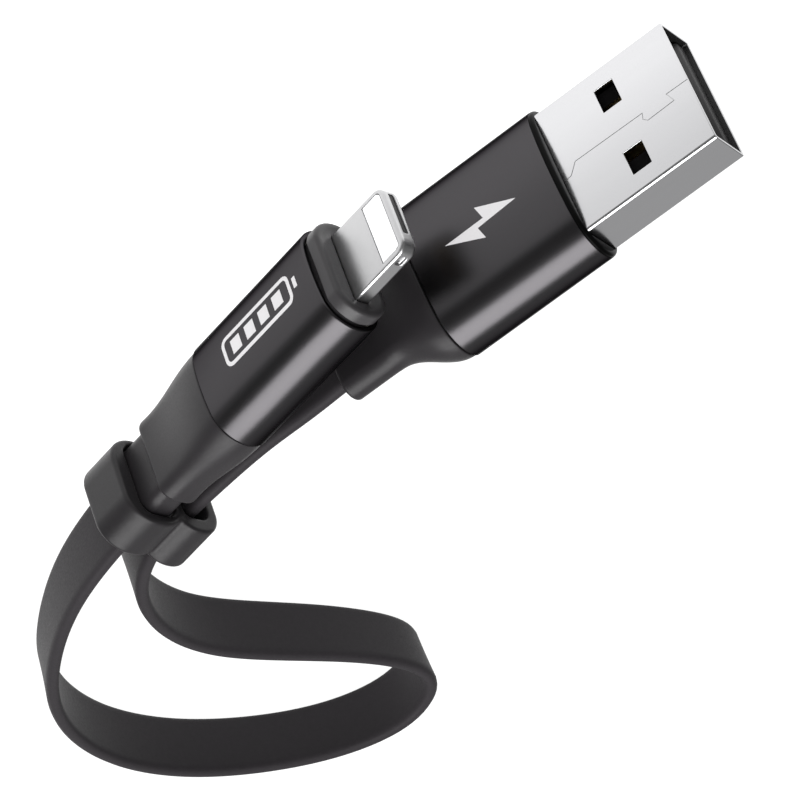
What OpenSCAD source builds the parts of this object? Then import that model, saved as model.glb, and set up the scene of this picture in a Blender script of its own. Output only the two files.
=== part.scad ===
// Short flat charging cable: USB-A plug, flat cable folded into a loop,
// small flat-tongue phone plug and a two-loop rubber keeper.
// Millimetres. The cable lies on its edges on the plane z = 0.
// +X runs from the USB plug's tip towards the loop, +Z is up and is the
// width direction of both plugs and of the flat cable, -Y is the side on
// which the phone plug lies in front of the USB plug.

/* [USB plug] */
// Width of the steel shell
usb_w = 12; // [11.9:0.05:12.1]
// Thickness of the steel shell
usb_t = 4.5; // [4.4:0.05:4.6]
// Sheet thickness of the steel shell
usb_wall = 0.3; // [0.25:0.05:0.35]
// Length of shell that stands out of the barrel
usb_out = 12.6; // [11.9:0.1:12.8]
// Length of the aluminium barrel
usb_barrel_len = 14.1; // [12:0.1:16]
// Width of the aluminium barrel
usb_barrel_w = 14.6; // [14.4:0.1:15]
// Thickness of the aluminium barrel
usb_barrel_t = 7; // [6.8:0.1:7.4]
// Width of the flat face of the barrel
usb_barrel_flat = 8.6; // [8.2:0.1:9]
// Wall of the aluminium barrel
usb_barrel_wall = 0.4; // [0.35:0.05:0.4]
// Length of the soft relief behind the barrel
usb_relief_len = 10.6; // [10:0.1:11]
// Width of the soft relief at its thin end
usb_relief_end_w = 9; // [8.4:0.1:9.6]
// Thickness of the soft relief at its thin end
usb_relief_end_t = 2.8; // [2.4:0.1:3.2]

/* [Phone plug] */
// Width of the flat tongue
tongue_w = 6.7; // [6.6:0.05:6.8]
// Thickness of the flat tongue
tongue_t = 1.5; // [1.45:0.05:1.55]
// Length of tongue that stands out of the collar
tongue_out = 6.4; // [6.2:0.1:6.8]
// Width of the collar
collar_w = 9.7; // [9.4:0.1:9.9]
// Thickness of the collar
collar_t = 5.3; // [5:0.1:5.5]
// Length of the phone plug's barrel
phone_barrel_len = 14.9; // [14:0.1:15.5]
// Width of the phone plug's barrel
phone_barrel_w = 10.4; // [10.2:0.1:10.8]
// Thickness of the phone plug's barrel
phone_barrel_t = 6.3; // [6.2:0.1:6.5]
// Width of the flat face of the phone plug's barrel
phone_barrel_flat = 5.1; // [4.8:0.1:5.6]
// Wall of the phone plug's barrel
phone_barrel_wall = 0.45; // [0.4:0.05:0.5]
// Length of the soft relief up to its shoulder
phone_relief_len = 9; // [8.5:0.1:9.3]
// Width of the relief's narrow neck
neck_w = 6.8; // [6.6:0.1:6.9]
// Thickness of the relief's narrow neck
neck_t = 3.2; // [2.8:0.1:3.3]

/* [Cable] */
// Width of the flat cable
cable_w = 6.2; // [6:0.1:6.3]
// Thickness of the flat cable
cable_t = 1.24; // [1.1:0.02:1.3]
// Diameter of each insulated wire
wire_d = 0.46; // [0.36:0.02:0.48]
// Spacing of the wires across the cable
wire_pitch = 1.3; // [1.1:0.05:1.35]

/* [Keeper] */
// Length of the keeper along the plug
keeper_len = 4.4; // [3.6:0.1:4.8]
// Width of the loop round the phone plug's neck
keeper_big_w = 8.8; // [8.7:0.1:9.2]
// Width of the loop round the flat cable
keeper_small_w = 9.6; // [9.4:0.1:9.8]
// Length of the loop round the flat cable
keeper_small_len = 5; // [4.4:0.1:5.2]

/* [Hidden] */

// Offsets that put the origin under the middle of the two plugs and keeper
off_x = -30.96;
off_y = 1.004;

// Pose of the USB plug: its tip's centre, lying on its narrow side
usb_z = usb_barrel_w/2;
// Pose of the phone plug: centre of the collar's front face, turn and lean
phone_x = 30.1;
phone_y = -6.9;
phone_z = 6.2;
phone_yaw = 14.7;
phone_lean = 3;

gap = 0.05;
usb_len = 18.5;
usb_back = usb_out + usb_barrel_len;
usb_end = usb_back + usb_relief_len;
ph_front = 1.45;
ph_back = ph_front + phone_barrel_len;
ph_shoulder = ph_back + phone_relief_len;
neck_end = ph_shoulder + 5.4;
keeper_x = 27.6;
keeper_y = 4;
keeper_z = -0.65;

// Circular side bulges of the barrels: arc radius and arc centre
function bulge_r(w, t, f) = (t*t/4 + (w - f)*(w - f)/4)/(w - f);
usb_r = bulge_r(usb_barrel_w, usb_barrel_t, usb_barrel_flat);
usb_c = usb_barrel_w/2 - usb_r;
ph_r = bulge_r(phone_barrel_w, phone_barrel_t, phone_barrel_flat);
ph_c = phone_barrel_w/2 - ph_r;

// A point of the phone plug's own axes, seen in the cable's frame
function phone_pt(x, y) = [
  phone_x + x*cos(phone_yaw) - y*cos(phone_lean)*sin(phone_yaw),
  phone_y + x*sin(phone_yaw) + y*cos(phone_lean)*cos(phone_yaw)];

// Route of the flat cable's centre line: x, y, height and lean of the
// section, from inside the phone plug round the loop to the USB plug
ROUTE = [
  [phone_pt(12, 0)[0], phone_pt(12, 0)[1], phone_z, -3],
  [phone_pt(19, 0)[0], phone_pt(19, 0)[1], phone_z, -3],
  [phone_pt(26, 0)[0], phone_pt(26, 0)[1], phone_z, -3],
  [phone_pt(33, 0)[0], phone_pt(33, 0)[1], phone_z, -3],
  [69.5, 5.25, 5.5, -8],
  [76, 10.75, 4.7, -10],
  [82, 17.5, 4, -7],
  [85.5, 25, 3.4, -5],
  [86.5, 33.5, 3.2, -5],
  [84.5, 42, 3.2, -1],
  [80, 49.5, 3.2, 4],
  [75, 54.5, 3.2, 7],
  [69.5, 56.5, 3.2, 6],
  [65, 54.5, 3.2, 2],
  [63, 51, 3.2, -3],
  [63.5, 46, 3.2, -4],
  [65.5, 39.75, 3.2, -2],
  [68.25, 33.5, 3.2, 1],
  [70.75, 27, 3.2, 2],
  [70.75, 20.5, 3.5, 2],
  [68.75, 14, 4.1, 2],
  [65, 8.5, 4.9, 3],
  [phone_pt(32, 4)[0], phone_pt(32, 4)[1], 5.6, 3],
  [phone_pt(25, 4)[0], phone_pt(25, 4)[1], 6, 3],
  [phone_pt(18, 4)[0], phone_pt(18, 4)[1], 6.5, 2],
  [41.5, 1, 7, 0],
  [36, 0, usb_z, 0],
  [29, 0, usb_z, 0],
  [22, 0, usb_z, 0]];
STEPS = 3;

// Uniform cubic spline through the route's frame of points
function blend4(p, i, t) =
  ((1 - t)*(1 - t)*(1 - t)*p[i]
  + (3*t*t*t - 6*t*t + 4)*p[i + 1]
  + (-3*t*t*t + 3*t*t + 3*t + 1)*p[i + 2]
  + t*t*t*p[i + 3])/6;
LINE = [for (i = [0 : len(ROUTE) - 4]) for (j = [0 : STEPS - 1]) blend4(ROUTE, i, j/STEPS),
  blend4(ROUTE, len(ROUTE) - 4, 1)];
// Heading of the route at ring i, in plan
function head(i) = let (a = LINE[max(0, i - 1)], b = LINE[min(len(LINE) - 1, i + 1)],
  d = [b[0] - a[0], b[1] - a[1]]) d/norm(d);
// Place a section point (s across the thickness, w across the width) at ring i
function place(i, s, w) = let (h = head(i), q = LINE[i][3], k = s*cos(q) + w*sin(q))
  [LINE[i][0] - h[1]*k, LINE[i][1] + h[0]*k, LINE[i][2] + w*cos(q) - s*sin(q)];

// Twelve-sided section with rounded narrow edges
function flat_section(w, t) = let (a = w/2 - t/2, r = t/2, c = 0.866*r, e = 0.5*r)
  [[r, -a], [r, 0], [r, a], [c, a + e], [0, a + r], [-c, a + e],
   [-r, a], [-r, 0], [-r, -a], [-c, -a - e], [0, -a - r], [c, -a - e]];
// Eight-sided round section whose centre is c across the width
function round_section(d, c) = [for (k = [0 : 7]) [d/2*cos(45*k + 22.5), c + d/2*sin(45*k + 22.5)]];

// Closed tube swept along the route, solid or hollow
module sweep(outer, inner = []) {
  n = len(outer);
  m = len(LINE);
  hollow = len(inner) > 0;
  po = [for (i = [0 : m - 1]) for (p = outer) place(i, p[0], p[1])];
  pi = hollow ? [for (i = [0 : m - 1]) for (p = inner) place(i, p[0], p[1])] : [];
  b = n*m;
  side = [for (i = [0 : m - 2]) for (k = [0 : n - 1])
    each [[i*n + k, (i + 1)*n + k, (i + 1)*n + (k + 1)%n], [i*n + k, (i + 1)*n + (k + 1)%n, i*n + (k + 1)%n]]];
  bore = hollow ? [for (i = [0 : m - 2]) for (k = [0 : n - 1])
    each [[b + i*n + k, b + (i + 1)*n + (k + 1)%n, b + (i + 1)*n + k], [b + i*n + k, b + i*n + (k + 1)%n, b + (i + 1)*n + (k + 1)%n]]] : [];
  e = (m - 1)*n;
  caps = hollow
    ? [for (k = [0 : n - 1]) each [[k, (k + 1)%n, b + (k + 1)%n], [k, b + (k + 1)%n, b + k],
        [e + k, b + e + (k + 1)%n, e + (k + 1)%n], [e + k, b + e + k, b + e + (k + 1)%n]]]
    : [[for (k = [0 : n - 1]) k], [for (k = [n - 1 : -1 : 0]) e + k]];
  polyhedron(concat(po, pi), concat(side, bore, caps), convexity = 8);
}

module at_frame() translate([off_x, off_y, 0]) children();
module at_usb() at_frame() translate([0, 0, usb_z]) children();
module at_phone() at_frame() translate([phone_x, phone_y, phone_z])
  rotate([0, 0, phone_yaw]) rotate([phone_lean, 0, 0]) children();

// Extrude a section drawn as (thickness, width) along the plug's axis
module along(x0, x1) translate([x0, 0, 0]) rotate([90, 0, 90]) linear_extrude(x1 - x0) children();
// Barrel section: flat faces with circular side bulges
module lens(t, c, r) intersection() {
  square([t, 2*(c + r) + 2], center = true);
  union() {
    square([t, 2*(c + sqrt(max(0, r*r - t*t/4)))], center = true);
    for (s = [-1, 1]) translate([0, s*c]) circle(r, $fn = 96);
  }
}
// Rectangle with rounded corners
module rounded(t, w, r) union() {
  square([t, w - 2*r], center = true);
  square([t - 2*r, w], center = true);
  for (a = [-1, 1], b = [-1, 1]) translate([a*(t/2 - r), b*(w/2 - r)]) circle(r, $fn = 32);
}
module rect(t, w) square([t, w], center = true);

// Soft loft between barrel-like sections along the plug's axis
function lens_pt(a, w, t, f) = let (r = bulge_r(w, t, f), c = w/2 - r,
  q = atan2(w*sin(a), t*cos(a)), u = abs(cos(q)), v = abs(sin(q)),
  m = u > 0.0001 && v*t/2/u <= f/2 ? t/2/u : c*v + sqrt(max(0, r*r - c*c*u*u))) [m*cos(q), m*sin(q)];
function ease(u) = (1 + cos(180*min(1, max(0, u))))/2;
module loft(xs, ws, ts, fs) {
  n = 44;
  m = len(xs);
  pts = [for (i = [0 : m - 1]) for (k = [0 : n - 1])
    let (p = lens_pt(360*k/n + 4, ws[i], ts[i], fs[i])) [xs[i], p[0], p[1]]];
  side = [for (i = [0 : m - 2]) for (k = [0 : n - 1])
    each [[i*n + k, (i + 1)*n + k, (i + 1)*n + (k + 1)%n], [i*n + k, (i + 1)*n + (k + 1)%n, i*n + (k + 1)%n]]];
  e = (m - 1)*n;
  caps = [for (k = [0 : n - 1]) each [[k, (k + 1)%n, m*n], [e + (k + 1)%n, e + k, m*n + 1]]];
  polyhedron(concat(pts, [[xs[0], 0, 0], [xs[m - 1], 0, 0]]), concat(side, caps), convexity = 4);
}

// ---- USB plug ----
module usb_shell() color([0.86, 0.86, 0.87]) at_usb() difference() {
  along(0, usb_len) rounded(usb_t, usb_w, 0.6);
  along(-1, usb_len + 1) rounded(usb_t - 2*usb_wall, usb_w - 2*usb_wall, 0.3);
  for (s = [-1, 1]) translate([6.4, 0, 3.2*s]) cube([1.8, usb_t + 2, 2.2], center = true);
}
module usb_insulator() color([0.2, 0.2, 0.21]) at_usb() difference() {
  union() {
    translate([0.4, 0.15, -5.6]) cube([11.2, 1.75, 11.2]);
    translate([11.6, -1.9, -5.6]) cube([5, 3.8, 11.2]);
  }
  for (z = [-3.5, -1, 1, 3.5]) translate([11, -0.15, z - 0.6]) cube([6, 0.4, 1.2]);
}
module usb_power_contacts() color([0.85, 0.68, 0.32]) at_usb() for (s = [-1, 1]) {
  translate([1.2, -0.05, 3.5*s - 0.5]) cube([17, 0.15, 1]);
  translate([17.2, -0.05, s > 0 ? 1.8 : -3.2]) cube([1, 0.15, 1.4]);
}
module usb_data_contacts() color([0.85, 0.68, 0.32]) at_usb() for (s = [-1, 1])
  translate([2.2, -0.05, s - 0.5]) cube([16, 0.15, 1]);
module usb_rear_clamp() color([0.75, 0.75, 0.77]) at_usb() difference() {
  along(usb_len + gap, 22) rounded(3.4, 9, 0.5);
  along(usb_len - 1, 23) rounded(2.8, 8.4, 0.3);
}
module usb_inner_mold() color([0.85, 0.85, 0.82]) at_usb() difference() {
  along(13.45, usb_back - 1.4) lens(usb_barrel_t - 2*usb_barrel_wall - 2*gap, usb_c, usb_r - usb_barrel_wall - gap);
  along(13, usb_len + 2*gap) rounded(usb_t + 2*gap, usb_w + 2*gap, 0.6);
  along(usb_len, 22 + gap) rounded(3.4 + 2*gap, 9 + 2*gap, 0.5);
  along(20, usb_back) rect(1, 4.8);
}
module usb_front_bezel() color([0.03, 0.03, 0.03]) at_usb() difference() {
  along(usb_out + 0.15, 13.4) lens(usb_barrel_t - 2*usb_barrel_wall - 2*gap, usb_c, usb_r - usb_barrel_wall - gap);
  along(usb_out - 1, 14) rounded(usb_t + 0.04, usb_w + 0.04, 0.6);
}
module usb_barrel() color([0.17, 0.17, 0.18]) at_usb() difference() {
  along(usb_out, usb_back) lens(usb_barrel_t, usb_c, usb_r);
  along(usb_out - 1, usb_back + 1) lens(usb_barrel_t - 2*usb_barrel_wall, usb_c, usb_r - usb_barrel_wall);
}
module usb_relief() color([0.22, 0.22, 0.23]) at_usb() difference() {
  union() {
    loft([for (i = [0 : 11]) usb_back + gap + i*(usb_relief_len - gap)/11],
      [for (i = [0 : 11]) usb_relief_end_w - (i == 11 ? 0.7 : 0) + (usb_barrel_w - 0.2 - usb_relief_end_w)*ease(i/6)],
      [for (i = [0 : 11]) usb_relief_end_t - (i == 11 ? 0.7 : 0) + (usb_barrel_t - 0.2 - usb_relief_end_t)*ease(i/7)],
      [for (i = [0 : 11]) 6 + (usb_barrel_flat - 6)*ease(i/6)]);
    along(usb_back - 1.3, usb_back + 1) lens(usb_barrel_t - 2*usb_barrel_wall - 0.4, usb_c, usb_r - usb_barrel_wall - 0.2);
  }
  along(usb_back - 2, 29.2) rect(1, 4.8);
  along(28.9, usb_end + 1) rounded(cable_t + 0.12, cable_w + 0.12, 0.4);
}

// ---- Phone plug ----
module phone_tongue_frame() color([0.85, 0.85, 0.86]) at_phone() difference() {
  along(-tongue_out, 4) rounded(tongue_t, tongue_w, 0.45);
  translate([-4.8, 0, 0]) cube([2.2, 3, 5.6], center = true);
  along(-5.7, 5) rect(0.6, 5.1);
  along(-tongue_out - 1, -tongue_out + 0.2) rect(0.55, 4.2);
  for (s = [-1, 1]) translate([-4.9, 0, s*tongue_w/2]) cube([0.9, 0.9, 0.6], center = true);
}
module phone_tongue_insert() color([0.95, 0.95, 0.95]) at_phone() difference() {
  translate([-4.8, 0, 0]) cube([2.16, 1.4, 5.56], center = true);
  along(-5.6, -2) rect(0.56, 5);
  for (k = [0 : 7]) translate([-5.65, 0.6, (k - 3.5)*0.62 - 0.22]) cube([1.7, 0.3, 0.44]);
}
module phone_contacts() color([0.88, 0.7, 0.3]) at_phone() for (k = [0 : 7])
  translate([-5.6, 0.6, (k - 3.5)*0.62 - 0.2]) cube([1.6, 0.1, 0.4]);
module phone_board() color([0.1, 0.3, 0.16]) at_phone() union() {
  translate([-5.3, -0.25, -2.45]) cube([10, 0.5, 4.9]);
  translate([4.4, -0.25, -3.4]) cube([8, 0.5, 6.8]);
}
module phone_chip() color([0.06, 0.06, 0.06]) at_phone() translate([5.6, -1.05, -1.4]) cube([2.8, 0.78, 2.8]);
module phone_capacitors() color([0.6, 0.45, 0.3]) at_phone() for (z = [-2.8, -1.9, 1.9, 2.8])
  translate([9, -0.6, z - 0.25]) cube([1, 0.33, 0.5]);
module phone_shield_can() color([0.78, 0.78, 0.8]) at_phone() difference() {
  along(4.2, 12.7) rounded(3, 7.8, 0.4);
  along(4.4, 13) rounded(2.6, 7.4, 0.25);
  along(3, 5) rect(0.7, 5.2);
}
module phone_cable_clamp() color([0.75, 0.75, 0.77]) at_phone() difference() {
  along(12.8, 14.6) rounded(2.2, 6.6, 0.4);
  along(12, 15) rect(1, 4.8);
}
module phone_inner_mold() color([0.85, 0.85, 0.82]) at_phone() difference() {
  along(2.05, ph_back - 1.3) lens(phone_barrel_t - 2*phone_barrel_wall - 2*gap, ph_c, ph_r - phone_barrel_wall - gap);
  along(1, 4.2) rounded(tongue_t + 2*gap, tongue_w + 2*gap, 0.45);
  along(4.15, 12.75) rounded(3 + 2*gap, 7.8 + 2*gap, 0.4);
  along(12.7, 14.65) rounded(2.2 + 2*gap, 6.6 + 2*gap, 0.4);
  along(14, ph_back) rect(1, 4.8);
}
module phone_collar() color([0.24, 0.24, 0.25]) at_phone() difference() {
  union() {
    along(0, 1.2) lens(collar_t, collar_w/2 - 2.75, 2.75);
    along(1.1, 2) lens(collar_t - 0.7, collar_w/2 - 2.75, 2.4);
  }
  along(-1, 3) rounded(tongue_t + 2*gap, tongue_w + 2*gap, 0.45);
}
module phone_barrel() color([0.17, 0.17, 0.18]) at_phone() difference() {
  along(ph_front, ph_back) lens(phone_barrel_t, ph_c, ph_r);
  along(0, ph_back + 1) lens(phone_barrel_t - 2*phone_barrel_wall, ph_c, ph_r - phone_barrel_wall);
}
module phone_relief() color([0.22, 0.22, 0.23]) at_phone() difference() {
  union() {
    loft([for (i = [0 : 9]) ph_back + gap + i*(phone_relief_len - gap)/9],
      [for (i = [0 : 9]) 8.3 - (i == 9 ? 0.5 : 0) + (phone_barrel_w - 0.2 - 8.3)*ease(i/8.5)],
      [for (i = [0 : 9]) 3.9 - (i == 9 ? 0.3 : 0) + (phone_barrel_t - 0.2 - 3.9)*ease(i/8.5)],
      [for (i = [0 : 9]) 4.4 + (phone_barrel_flat - 4.4)*ease(i/8)]);
    along(ph_back - 1.25, ph_back + 1) lens(phone_barrel_t - 2*phone_barrel_wall - 0.4, ph_c, ph_r - phone_barrel_wall - 0.2);
    along(ph_shoulder - 1, neck_end) rounded(neck_t, neck_w, 1.1);
  }
  along(ph_back - 2, 19.2) rect(1, 4.8);
  along(18.9, neck_end + 1) rounded(cable_t + 0.12, cable_w + 0.12, 0.4);
  translate([neck_end - 2.4, -0.75, -3.2]) cube([4, 1.75, 6.35]);
}

// ---- Cable ----
module cable_jacket() color([0.24, 0.24, 0.25]) at_frame()
  sweep(flat_section(cable_w, cable_t), flat_section(cable_w - 1.2, 0.62));
module wire(c, tint) color(tint) {
  at_frame() sweep(round_section(wire_d, c));
  at_usb() translate([18.3, -wire_d/2, c - 0.2]) cube([10.7, wire_d, 0.4]);
  at_phone() translate([12.5, -wire_d/2, c - 0.2]) cube([6.5, wire_d, 0.4]);
}
module wire_power() wire(1.5*wire_pitch, [0.75, 0.1, 0.1]);
module wire_data_minus() wire(0.5*wire_pitch, [0.9, 0.9, 0.9]);
module wire_data_plus() wire(-0.5*wire_pitch, [0.1, 0.5, 0.2]);
module wire_ground() wire(-1.5*wire_pitch, [0.08, 0.08, 0.08]);

// ---- Keeper ----
module keeper() color([0.2, 0.2, 0.21]) at_phone() difference() {
  union() {
    translate([0, -0.3, 0.2]) along(keeper_x, keeper_x + keeper_len) rounded(6, keeper_big_w, 2.7);
    translate([0, keeper_y, keeper_z + 0.35]) along(keeper_x, keeper_x + keeper_small_len) rounded(4.8, keeper_small_w, 2.3);
  }
  along(keeper_x - 1, keeper_x + keeper_len + 1) rounded(3.6, 7.2, 1.2);
  translate([0, keeper_y, keeper_z]) along(keeper_x - 1, keeper_x + keeper_small_len + 1) rounded(2.72, 7.4, 0.9);
}

usb_shell();
usb_insulator();
usb_power_contacts();
usb_data_contacts();
usb_rear_clamp();
usb_inner_mold();
usb_front_bezel();
usb_barrel();
usb_relief();
phone_tongue_frame();
phone_tongue_insert();
phone_contacts();
phone_board();
phone_chip();
phone_capacitors();
phone_shield_can();
phone_cable_clamp();
phone_inner_mold();
phone_collar();
phone_barrel();
phone_relief();
cable_jacket();
wire_power();
wire_data_minus();
wire_data_plus();
wire_ground();
keeper();
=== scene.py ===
import bpy, bmesh, math
import numpy as np
from math import radians, sin, cos, pi
from mathutils import Vector, Matrix


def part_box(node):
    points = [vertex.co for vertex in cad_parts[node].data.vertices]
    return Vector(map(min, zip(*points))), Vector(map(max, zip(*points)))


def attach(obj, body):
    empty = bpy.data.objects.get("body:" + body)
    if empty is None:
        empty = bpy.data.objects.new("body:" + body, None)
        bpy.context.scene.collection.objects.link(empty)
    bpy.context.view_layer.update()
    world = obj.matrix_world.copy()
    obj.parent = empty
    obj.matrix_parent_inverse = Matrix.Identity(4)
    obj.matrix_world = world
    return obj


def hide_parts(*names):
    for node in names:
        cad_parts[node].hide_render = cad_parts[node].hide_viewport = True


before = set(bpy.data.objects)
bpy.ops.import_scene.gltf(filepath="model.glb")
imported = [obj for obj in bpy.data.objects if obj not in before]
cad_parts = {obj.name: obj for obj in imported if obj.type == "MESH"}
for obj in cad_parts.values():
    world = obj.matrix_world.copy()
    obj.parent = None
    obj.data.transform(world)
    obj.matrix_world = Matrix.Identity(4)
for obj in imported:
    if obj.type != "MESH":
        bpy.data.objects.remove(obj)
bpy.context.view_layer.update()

scene = bpy.context.scene
scene.view_settings.view_transform = "Standard"
scene.view_settings.look = "None"

# ------------------------------------------------------------------ axes
# Everything below is drawn in millimetres, in the plugs' own axes:
# x from the tip (or the collar's face) along the plug, y thickness, z width.
lo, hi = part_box("usb_shell")
TIP = np.array([lo[0], (lo[1] + hi[1]) / 2, (lo[2] + hi[2]) / 2]) * 1000
YAW, LEAN = radians(14.7), radians(3)
PH0 = TIP + [30.1, -6.9, 0]
PH0[2] = 6.2
RZ = np.array([[cos(YAW), -sin(YAW), 0], [sin(YAW), cos(YAW), 0], [0, 0, 1]])
RX = np.array([[1, 0, 0], [0, cos(LEAN), -sin(LEAN)], [0, sin(LEAN), cos(LEAN)]])
RP = RZ @ RX


def at_usb(p):
    return np.asarray(p, float) + TIP


def at_phone(p):
    return np.asarray(p, float) @ RP.T + PH0


def at_row(p):
    return np.asarray(p, float)


# ------------------------------------------------------------------ camera
R_AX = np.array([-0.76493394, 0.55083691, 0.33384843])
U_AX = np.array([-0.55343360, -0.29690714, -0.77817568])
F_AX = np.array([0.32952590, 0.78001593, -0.53196600])
CAM = (TIP + [-84.16133834, -278.72396879, 197.11966417]) / 1000
cam_data = bpy.data.cameras.new("camera")
cam_data.sensor_width = 36
cam_data.lens = 203.607
cam_data.clip_start, cam_data.clip_end = 0.01, 20
cam = bpy.data.objects.new("camera", cam_data)
scene.collection.objects.link(cam)
m = Matrix.Identity(4)
for i in range(3):
    m[i][0], m[i][1], m[i][2], m[i][3] = R_AX[i], U_AX[i], -F_AX[i], CAM[i]
cam.matrix_world = m
scene.camera = cam


# ------------------------------------------------------------------ materials
def material(name, base, rough, metallic=0.0, vary=0.06, vary_scale=350, rough_vary=0.05, bump=0.0, bump_scale=9000,
             specular=0.5, coat=0.0, coat_rough=0.1, sheen=0.0, streak=None, grain=0.0, edge=0.0, clouds=0.0, rim=1.0):
    """Procedural surface: cloudy tone, fine grain, small wear on edges, micro bump."""
    mt = bpy.data.materials.new(name)
    mt.use_nodes = True
    nt = mt.node_tree
    nd, ln = nt.nodes, nt.links
    b = next(n for n in nd if n.type == "BSDF_PRINCIPLED")
    b.inputs["Metallic"].default_value = metallic
    b.inputs["Specular IOR Level"].default_value = specular
    b.inputs["Specular Tint"].default_value = (rim, rim, rim, 1)
    b.inputs["Coat Weight"].default_value = coat
    b.inputs["Coat Roughness"].default_value = coat_rough
    b.inputs["Sheen Weight"].default_value = sheen
    tc = nd.new("ShaderNodeTexCoord")
    src = tc.outputs["Object"]
    if streak:
        mp = nd.new("ShaderNodeMapping")
        mp.inputs["Scale"].default_value = streak
        ln.new(src, mp.inputs["Vector"])
        src_s = mp.outputs["Vector"]
    else:
        src_s = src
    n1 = nd.new("ShaderNodeTexNoise")
    n1.inputs["Scale"].default_value = vary_scale
    n1.inputs["Detail"].default_value = 4
    n1.inputs["Roughness"].default_value = 0.6
    ln.new(src_s, n1.inputs["Vector"])
    mx = nd.new("ShaderNodeMix")
    mx.data_type = "RGBA"
    base = np.array(base, float)
    a = np.clip(base * (1 - vary), 0, 1)
    c = np.clip(base * (1 + vary), 0, 1)
    mx.inputs["A"].default_value = (*a, 1)
    mx.inputs["B"].default_value = (*c, 1)
    ln.new(n1.outputs["Fac"], mx.inputs["Factor"])
    col = mx.outputs["Result"]
    if clouds:
        n3 = nd.new("ShaderNodeTexNoise")
        n3.inputs["Scale"].default_value = 60
        n3.inputs["Detail"].default_value = 2
        ln.new(src, n3.inputs["Vector"])
        m3 = nd.new("ShaderNodeMix")
        m3.data_type = "RGBA"
        m3.blend_type = "MULTIPLY"
        m3.inputs["Factor"].default_value = 1.0
        r3 = nd.new("ShaderNodeMapRange")
        r3.inputs["To Min"].default_value = 1 - clouds
        r3.inputs["To Max"].default_value = 1 + clouds
        ln.new(n3.outputs["Fac"], r3.inputs["Value"])
        ln.new(col, m3.inputs["A"])
        ln.new(r3.outputs["Result"], m3.inputs["B"])
        col = m3.outputs["Result"]
    if edge:
        geo = nd.new("ShaderNodeNewGeometry")
        rp = nd.new("ShaderNodeMapRange")
        rp.inputs["From Min"].default_value = 0.53
        rp.inputs["From Max"].default_value = 0.62
        rp.inputs["To Min"].default_value = 0.0
        rp.inputs["To Max"].default_value = edge
        ln.new(geo.outputs["Pointiness"], rp.inputs["Value"])
        me = nd.new("ShaderNodeMix")
        me.data_type = "RGBA"
        light = np.clip(base * 1.8 + 0.03, 0, 1)
        me.inputs["B"].default_value = (*light, 1)
        ln.new(rp.outputs["Result"], me.inputs["Factor"])
        ln.new(col, me.inputs["A"])
        col = me.outputs["Result"]
    ln.new(col, b.inputs["Base Color"])
    rr = nd.new("ShaderNodeMapRange")
    rr.inputs["From Min"].default_value = 0.25
    rr.inputs["From Max"].default_value = 0.75
    rr.inputs["To Min"].default_value = max(0.02, rough - rough_vary)
    rr.inputs["To Max"].default_value = min(1, rough + rough_vary)
    n4 = nd.new("ShaderNodeTexNoise")
    n4.inputs["Scale"].default_value = vary_scale * 2.3
    n4.inputs["Detail"].default_value = 3
    ln.new(src_s, n4.inputs["Vector"])
    ln.new(n4.outputs["Fac"], rr.inputs["Value"])
    ln.new(rr.outputs["Result"], b.inputs["Roughness"])
    if bump:
        n2 = nd.new("ShaderNodeTexNoise")
        n2.inputs["Scale"].default_value = bump_scale
        n2.inputs["Detail"].default_value = 3
        ln.new(src_s if streak else src, n2.inputs["Vector"])
        bp = nd.new("ShaderNodeBump")
        bp.inputs["Strength"].default_value = bump
        bp.inputs["Distance"].default_value = 0.00002
        ln.new(n2.outputs["Fac"], bp.inputs["Height"])
        ln.new(bp.outputs["Normal"], b.inputs["Normal"])
    return mt


M = {}
M["steel"] = material("bright_steel", (0.52, 0.52, 0.53), 0.19, 1.0, vary=0.02, vary_scale=900, rough_vary=0.02,
                      bump=0.015, bump_scale=4000, streak=(0.06, 1, 1))
M["seam"] = material("seam_shadow", (0.42, 0.42, 0.425), 0.35, 1.0, vary=0.04, vary_scale=900, rough_vary=0.03)
# painted shade: the shell's inner faces are the same steel, darkened to 0.10 so the inside of the mouth reads as shade
M["inside"] = material("shell_inside_painted_shade", (0.10, 0.10, 0.10), 0.5, 1.0, vary=0.06, vary_scale=900, rough_vary=0.03)
M["tongue"] = material("tongue_metal", (0.47, 0.47, 0.475), 0.32, 1.0, vary=0.03, vary_scale=1500, rough_vary=0.03,
                       bump=0.03, bump_scale=9000)
M["anodised"] = material("anodised_metal", (0.060, 0.0575, 0.0605), 0.29, 1.0, vary=0.03, vary_scale=2500, rough_vary=0.015,
                         bump=0.006, bump_scale=14000, specular=0.5, rim=0.25)
M["bezel"] = material("gloss_black", (0.002, 0.002, 0.002), 0.30, 0.0, vary=0.1, vary_scale=1500, rough_vary=0.05,
                      specular=0.04)
M["relief"] = material("soft_elastomer", (0.0150, 0.0136, 0.0151), 0.40, 0.0, vary=0.10, vary_scale=2600, rough_vary=0.07,
                       bump=0.30, bump_scale=16000, specular=0.22, sheen=0.02, clouds=0.08)
M["jacket"] = material("flat_jacket", (0.0225, 0.0205, 0.0226), 0.5, 0.0, vary=0.12, vary_scale=2200, rough_vary=0.08,
                       bump=0.40, bump_scale=13000, specular=0.06, sheen=0.02, clouds=0.10)
M["keeper"] = material("keeper_rubber", (0.0120, 0.0109, 0.0121), 0.40, 0.0, vary=0.12, vary_scale=2600, rough_vary=0.08,
                       bump=0.40, bump_scale=15000, specular=0.24, sheen=0.02, clouds=0.08)
M["collar"] = material("collar_plastic", (0.032, 0.0305, 0.0322), 0.36, 0.0, vary=0.08, vary_scale=2600, rough_vary=0.06,
                       bump=0.2, bump_scale=15000, specular=0.3)
M["insulator"] = material("black_moulding", (0.020, 0.019, 0.020), 0.45, 0.0, vary=0.12, vary_scale=2200, bump=0.2,
                          bump_scale=12000, specular=0.3)
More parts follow.
